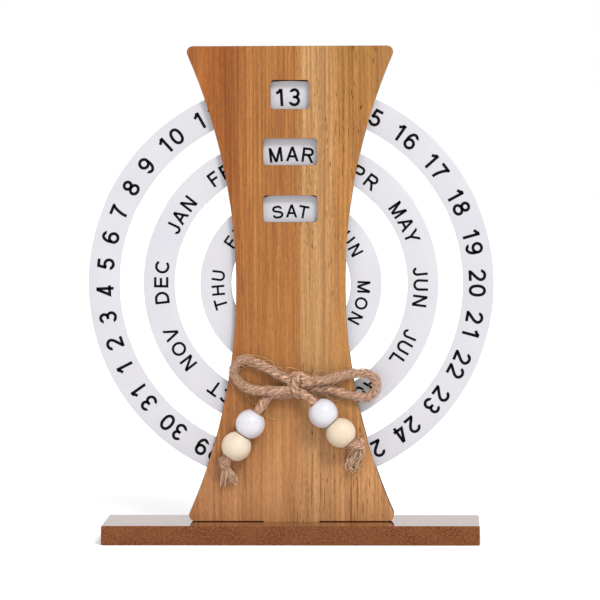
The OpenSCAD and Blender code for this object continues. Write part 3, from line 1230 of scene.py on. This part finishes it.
def add_ring(node):
    """A flat ring with softened edges, lacquered white all over."""
    low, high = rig.box(node)
    outer = (high.z - low.z) / 2
    profile = rounded_rectangle(outer - RING_BAND, outer, low.y, high.y, RING_EDGE)
    mesh = lathe(node, profile, RING_SEGMENTS)
    turn = Matrix.Rotation(-math.pi / 2, 4, "X")
    mesh.transform(Matrix.Translation((RING_CENTRE.x, 0, RING_CENTRE.z)) @ turn)
    place_piece(f"{node}_board", mesh, [LACQUER], node, "ring_board", [node])


for ring in ("day_ring", "month_ring", "weekday_ring"):
    add_ring(ring)


# ---------------------------------------------------------------- lettering

# A plain sans-serif drawn for this model. Its unit is the height of a capital.
STROKE = 0.17
PEN = STROKE / 2
TOP = 1 - PEN
HALF = 0.5 - PEN
ARC_STEP = 12
CURVE_STEPS = 5
STEEP = 0.8
DIGIT_MIDDLE = 0.33
DIGIT_PITCH = 0.841


def arc(centre, radii, start, end, power=1.0):
    """Points on an oval between two angles in degrees. A power below 1 squares the oval off."""
    count = max(2, round(abs(end - start) / ARC_STEP))
    points = []
    for k in range(count + 1):
        angle = math.radians(start + (end - start) * k / count)
        x = math.copysign(abs(math.cos(angle)) ** power, math.cos(angle))
        y = math.copysign(abs(math.sin(angle)) ** power, math.sin(angle))
        points.append((centre[0] + radii[0] * x, centre[1] + radii[1] * y))
    return points


def oval(centre, radii, power=1.0):
    return arc(centre, radii, 0, 360, power)


def curve(*points):
    """A smooth curve through a few points."""
    line = smooth_route([Vector((x, y, 0)) for x, y in points], CURVE_STEPS)
    return [(point.x, point.y) for point in line]


def upright(x, top=1.0):
    return [(x, 0), (x, top)]


def bar(y, start, end):
    return [(start, y), (end, y)]


SIX = [oval((0.34, 0.315), (0.255, 0.25)), arc((0.35, 0.52), (0.268, 0.405), 205, 40)]
GLYPHS = {
    "0": [oval((0.33, 0.5), (0.266, HALF), 0.88)],
    "1": [upright(0.458), curve((0.17, 0.745), (0.3, 0.82), (0.4, 0.93), (0.44, 0.98))],
    "2": [
        arc((0.33, 0.705), (0.258, 0.231), 175, -20)
        + curve((0.5, 0.5), (0.33, 0.33), (0.18, 0.19), (0.1, PEN)),
        bar(PEN, 0.03, 0.63),
    ],
    "3": [
        arc((0.32, 0.72), (0.216, 0.22), 160, -80),
        arc((0.32, 0.3), (0.25, 0.236), 80, -160),
        bar(0.515, 0.23, 0.38),
    ],
    "4": [upright(0.455), [(0.63, 0.235), (0.09, 0.235), (0.43, 1)]],
    "5": [
        [(0.59, TOP), (0.185, TOP), (0.115, 0.46)],
        arc((0.325, 0.315), (0.255, 0.25), 145, -165),
    ],
    "6": SIX,
    "7": [
        bar(TOP, 0.03, 0.64),
        curve((0.58, 0.94), (0.45, 0.74), (0.35, 0.5), (0.285, 0.25), (0.265, 0)),
    ],
    "8": [oval((0.33, 0.735), (0.215, 0.201)), oval((0.33, 0.285), (0.262, 0.221))],
    "9": [[(2 * DIGIT_MIDDLE - x, 1 - y) for x, y in stroke] for stroke in SIX],
    "A": [[(0.073, 0), (0.425, 1)], [(0.777, 0), (0.425, 1)], bar(0.335, 0.2, 0.65)],
    "B": [
        upright(PEN),
        [(PEN, TOP)] + arc((0.42, 0.735), (0.21, 0.201), 90, -90) + [(PEN, 0.534)],
        [(PEN, 0.534)] + arc((0.45, 0.299), (0.255, 0.235), 90, -90) + [(PEN, PEN)],
    ],
    "C": [arc((0.46, 0.5), (0.396, HALF), 42, 318)],
    "D": [upright(PEN), [(PEN, TOP)] + arc((0.36, 0.5), (0.39, HALF), 90, -90) + [(PEN, PEN)]],
    "E": [upright(PEN), bar(TOP, PEN, 0.71), bar(0.52, PEN, 0.66), bar(PEN, PEN, 0.73)],
    "F": [upright(PEN), bar(TOP, PEN, 0.67), bar(0.5, PEN, 0.59)],
    "G": [
        arc((0.46, 0.5), (0.396, HALF), 45, 312) + [(0.8, 0.25), (0.8, 0.44), (0.47, 0.44)],
    ],
    "H": [upright(PEN), upright(0.7), bar(0.53, PEN, 0.7)],
    "I": [upright(PEN)],
    "J": [[(0.49, 1)] + arc((0.277, 0.29), (0.213, 0.226), 0, -172)],
    "L": [upright(PEN), bar(PEN, PEN, 0.61)],
    "M": [upright(PEN), upright(0.816), [(0.08, 1), (0.44, 0)], [(0.8, 1), (0.44, 0)]],
    "N": [upright(PEN), upright(0.7), [(0.075, 1), (0.69, 0)]],
    "O": [oval((0.46, 0.5), (0.396, HALF), 0.96)],
    "P": [upright(PEN), [(PEN, TOP)] + arc((0.46, 0.7), (0.24, 0.236), 90, -90) + [(PEN, 0.464)]],
    "R": [
        upright(PEN),
        [(PEN, TOP)] + arc((0.46, 0.718), (0.24, 0.218), 90, -90) + [(PEN, 0.5)],
        curve((0.4, 0.5), (0.54, 0.34), (0.64, 0.18), (0.75, 0)),
    ],
    "S": [curve(
        (0.7, 0.71), (0.62, 0.87), (0.4, TOP), (0.18, 0.87), (0.1, 0.735), (0.19, 0.605),
        (0.42, 0.525), (0.65, 0.43), (0.73, 0.28), (0.62, 0.125), (0.4, PEN), (0.15, 0.14),
        (0.067, 0.31)
    )],
    "T": [bar(TOP, 0, 0.79), upright(0.395)],
    "U": [[(PEN, 1)] + arc((0.38, 0.38), (0.316, 0.316), 180, 360) + [(0.696, 1)]],
    "V": [[(0.075, 1), (0.44, 0)], [(0.805, 1), (0.44, 0)]],
    "W": [
        [(0.07, 1), (0.33, 0)], [(0.59, 1), (0.33, 0)],
        [(0.59, 1), (0.85, 0)], [(1.11, 1), (0.85, 0)],
    ],
    "Y": [[(0.075, 1), (0.43, 0.42)], [(0.785, 1), (0.43, 0.42)], upright(0.43, 0.45)],
}

# Space kept clear at the left and right of each letter, and pairs that stand closer together
BEARINGS = {
    "A": (0, 0), "B": (0.1, 0.06), "C": (0.06, 0.05), "D": (0.1, 0.06), "E": (0.1, 0.05),
    "F": (0.1, 0.04), "G": (0.06, 0.09), "H": (0.1, 0.1), "I": (0.11, 0.11), "J": (0.02, 0.06),
    "L": (0.1, 0.03), "M": (0.11, 0.11), "N": (0.09, 0.09), "O": (0.06, 0.06), "P": (0.1, 0.06),
    "R": (0.1, 0), "S": (0.06, 0.06), "T": (0.03, 0.03), "U": (0.06, 0.06), "V": (0, 0),
    "W": (0.02, 0.02), "Y": (0, 0),
}
KERNED = {"AY": 0.1, "AT": 0.1}
LETTER_SPACE = 0.08


def pen_edges(points):
    """Both edges of a stroke, as pairs of points, and whether the stroke closes on itself.

    Corners are mitred. The ends of steep strokes are cut level.
    """
    line = [Vector(point) for point in points]
    closed = (line[0] - line[-1]).length < PEN
    headings = [(b - a).normalized() for a, b in zip(line, line[1:])]
    if closed:
        line.pop()
    last = len(line) - 1
    edges = []
    for i, point in enumerate(line):
        inward = headings[i - 1] if closed or i > 0 else headings[0]
        onward = headings[i] if closed or i < last else headings[-1]
        heading = (inward + onward).normalized()
        across = Vector((-heading.y, heading.x))
        if not closed and i in (0, last) and abs(heading.y) > STEEP:
            across = Vector((-math.copysign(1, heading.y), 0))
        offset = across * (PEN / across.dot(Vector((-onward.y, onward.x))))
        edges.append((point + offset, point - offset))
    return edges, closed


def add_stroke(points, faces, place, edges, closed):
    """Adds a stroke as a thin solid. place(point, depth) puts a point of the glyph on the ring."""
    first = len(points)
    for left, right in edges:
        corners = [(left, INK_PROUD), (right, INK_PROUD), (right, -INK_SUNK), (left, -INK_SUNK)]
        points += [place(point, depth) for point, depth in corners]
    sides = len(corners)
    steps = len(edges) if closed else len(edges) - 1
    for i in range(steps):
        near = first + sides * i
        far = first + sides * ((i + 1) % len(edges))
        for k in range(sides):
            after = (k + 1) % sides
            faces.append((near + k, near + after, far + after, far + k))
    if not closed:
        last = first + sides * steps
        faces.append(tuple(first + k for k in range(sides)))
        faces.append(tuple(last + k for k in reversed(range(sides))))


def glyph_place(angle, baseline, height, middle):
    """How a glyph's points go on the rings' front faces, at an angle clockwise from the top."""
    tangent = Vector((math.cos(angle), 0, -math.sin(angle)))
    outward = Vector((math.sin(angle), 0, math.cos(angle)))
    origin = Vector((RING_CENTRE.x, RING_FRONT, RING_CENTRE.z)) + outward * baseline

    def place(point, depth):
        return origin + (tangent * (point.x - middle) + outward * point.y) * height + FRONT * depth

    return place


DAYS = [str(day) for day in range(1, 32)]
MONTHS = "JAN FEB MAR APR MAY JUN JUL AUG SEP OCT NOV DEC".split()
WEEKDAYS = "SUN MON TUE WED THU FRI SAT".split()
INK_PROUD = 0.04 * MM
INK_SUNK = 0.02 * MM


def letter_starts(word, widths):
    """Where each letter's ink starts along a word, and how long the word's ink is."""
    starts = [0.0]
    for letter, after in zip(word, word[1:]):
        space = LETTER_SPACE + BEARINGS[letter][1] + BEARINGS[after][0]
        starts.append(starts[-1] + widths[letter] + space - KERNED.get(letter + after, 0))
    return starts, starts[-1] + widths[word[-1]]


def add_lettering(node, words, first_angle, baseline, height, pitch=None, seam=0.0):
    """Words set round a ring's front face, reading clockwise, with equal gaps between them.

    first_angle is the middle of the first word in degrees, clockwise from the top. Digits stand
    a fixed pitch apart, given as a share of their height. The gap after the last word is wider by
    seam, in degrees.
    """
    strokes = {}
    lows = {}
    widths = {}
    for character in sorted(set("".join(words))):
        strokes[character] = [pen_edges(stroke) for stroke in GLYPHS[character]]
        xs = [point.x for edges, _ in strokes[character] for pair in edges for point in pair]
        lows[character] = DIGIT_MIDDLE - pitch / 2 if pitch else min(xs)
        widths[character] = pitch or max(xs) - min(xs)
    if pitch:
        layouts = [([k * pitch for k in range(len(word))], len(word) * pitch) for word in words]
    else:
        layouts = [letter_starts(word, widths) for word in words]
    to_angle = height / baseline
    inked = sum(length for _, length in layouts) * to_angle
    gap = (2 * math.pi - math.radians(seam) - inked) / len(words)
    points = []
    faces = []
    angle = math.radians(first_angle) - layouts[0][1] * to_angle / 2
    for word, (starts, length) in zip(words, layouts):
        for character, start in zip(word, starts):
            half = widths[character] / 2
            middle = lows[character] + half
            place = glyph_place(angle + (start + half) * to_angle, baseline, height, middle)
            for edges, closed in strokes[character]:
                add_stroke(points, faces, place, edges, closed)
        angle += length * to_angle + gap
    mesh = bpy.data.meshes.new(f"{node}_lettering")
    mesh.from_pydata(points, [], faces)
    work = bmesh.new()
    work.from_mesh(mesh)
    bmesh.ops.recalc_face_normals(work, faces=work.faces)
    work.to_mesh(mesh)
    work.free()
    place_piece(f"{node}_lettering", mesh, [INK], node, "lettering")


add_lettering("day_ring", DAYS, -116.9, 73.2 * MM, 7.1 * MM, pitch=DIGIT_PITCH)
add_lettering("month_ring", MONTHS, -57.8, 50.5 * MM, 5.95 * MM, seam=2.4)
add_lettering("weekday_ring", WEEKDAYS, 51.0, 27.4 * MM, 5.3 * MM)


# ---------------------------------------------------------------- studio

FLOOR_HALF = 4
WORLD_COLOUR = (1, 1, 1, 1)
WORLD_STRENGTH = 1.0
KEY_FROM = Vector((0.75, -1.5, 1.5))
KEY_STRENGTH = 2.0
KEY_SPREAD = math.radians(16)


def add_floor():
    material, tree, main = shader("floor")
    paint(tree, main, toned(tree, noisy(tree, "floor_tone"), "floor"))
    corners = [(-1, -1), (1, -1), (1, 1), (-1, 1)]
    mesh = bpy.data.meshes.new("floor")
    mesh.from_pydata([(x * FLOOR_HALF, y * FLOOR_HALF, 0) for x, y in corners], [], [(0, 1, 2, 3)])
    mesh.materials.append(material)
    floor = linked("floor", mesh)
    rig.stage(floor)


def add_key_light():
    """A broad light from the upper right, in front of the calendar."""
    data = bpy.data.lights.new("key", "SUN")
    data.energy = KEY_STRENGTH
    data.angle = KEY_SPREAD
    light = linked("key", data)
    light.rotation_euler = (-KEY_FROM).to_track_quat("-Z", "Y").to_euler()


def add_world():
    """White on every side."""
    world = bpy.data.worlds.new("studio")
    world.use_nodes = True
    backdrop = world.node_tree.nodes["Background"]
    backdrop.inputs["Color"].default_value = WORLD_COLOUR
    backdrop.inputs["Strength"].default_value = WORLD_STRENGTH
    bpy.context.scene.world = world
    bpy.context.scene.view_settings.view_transform = "Standard"


add_floor()
add_key_light()
add_world()

with open("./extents.json", "w") as out:
    boxes = {"cad": cad_box, "visual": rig.bounds()}
    json.dump({name: [list(corner) for corner in box] for name, box in boxes.items()}, out)
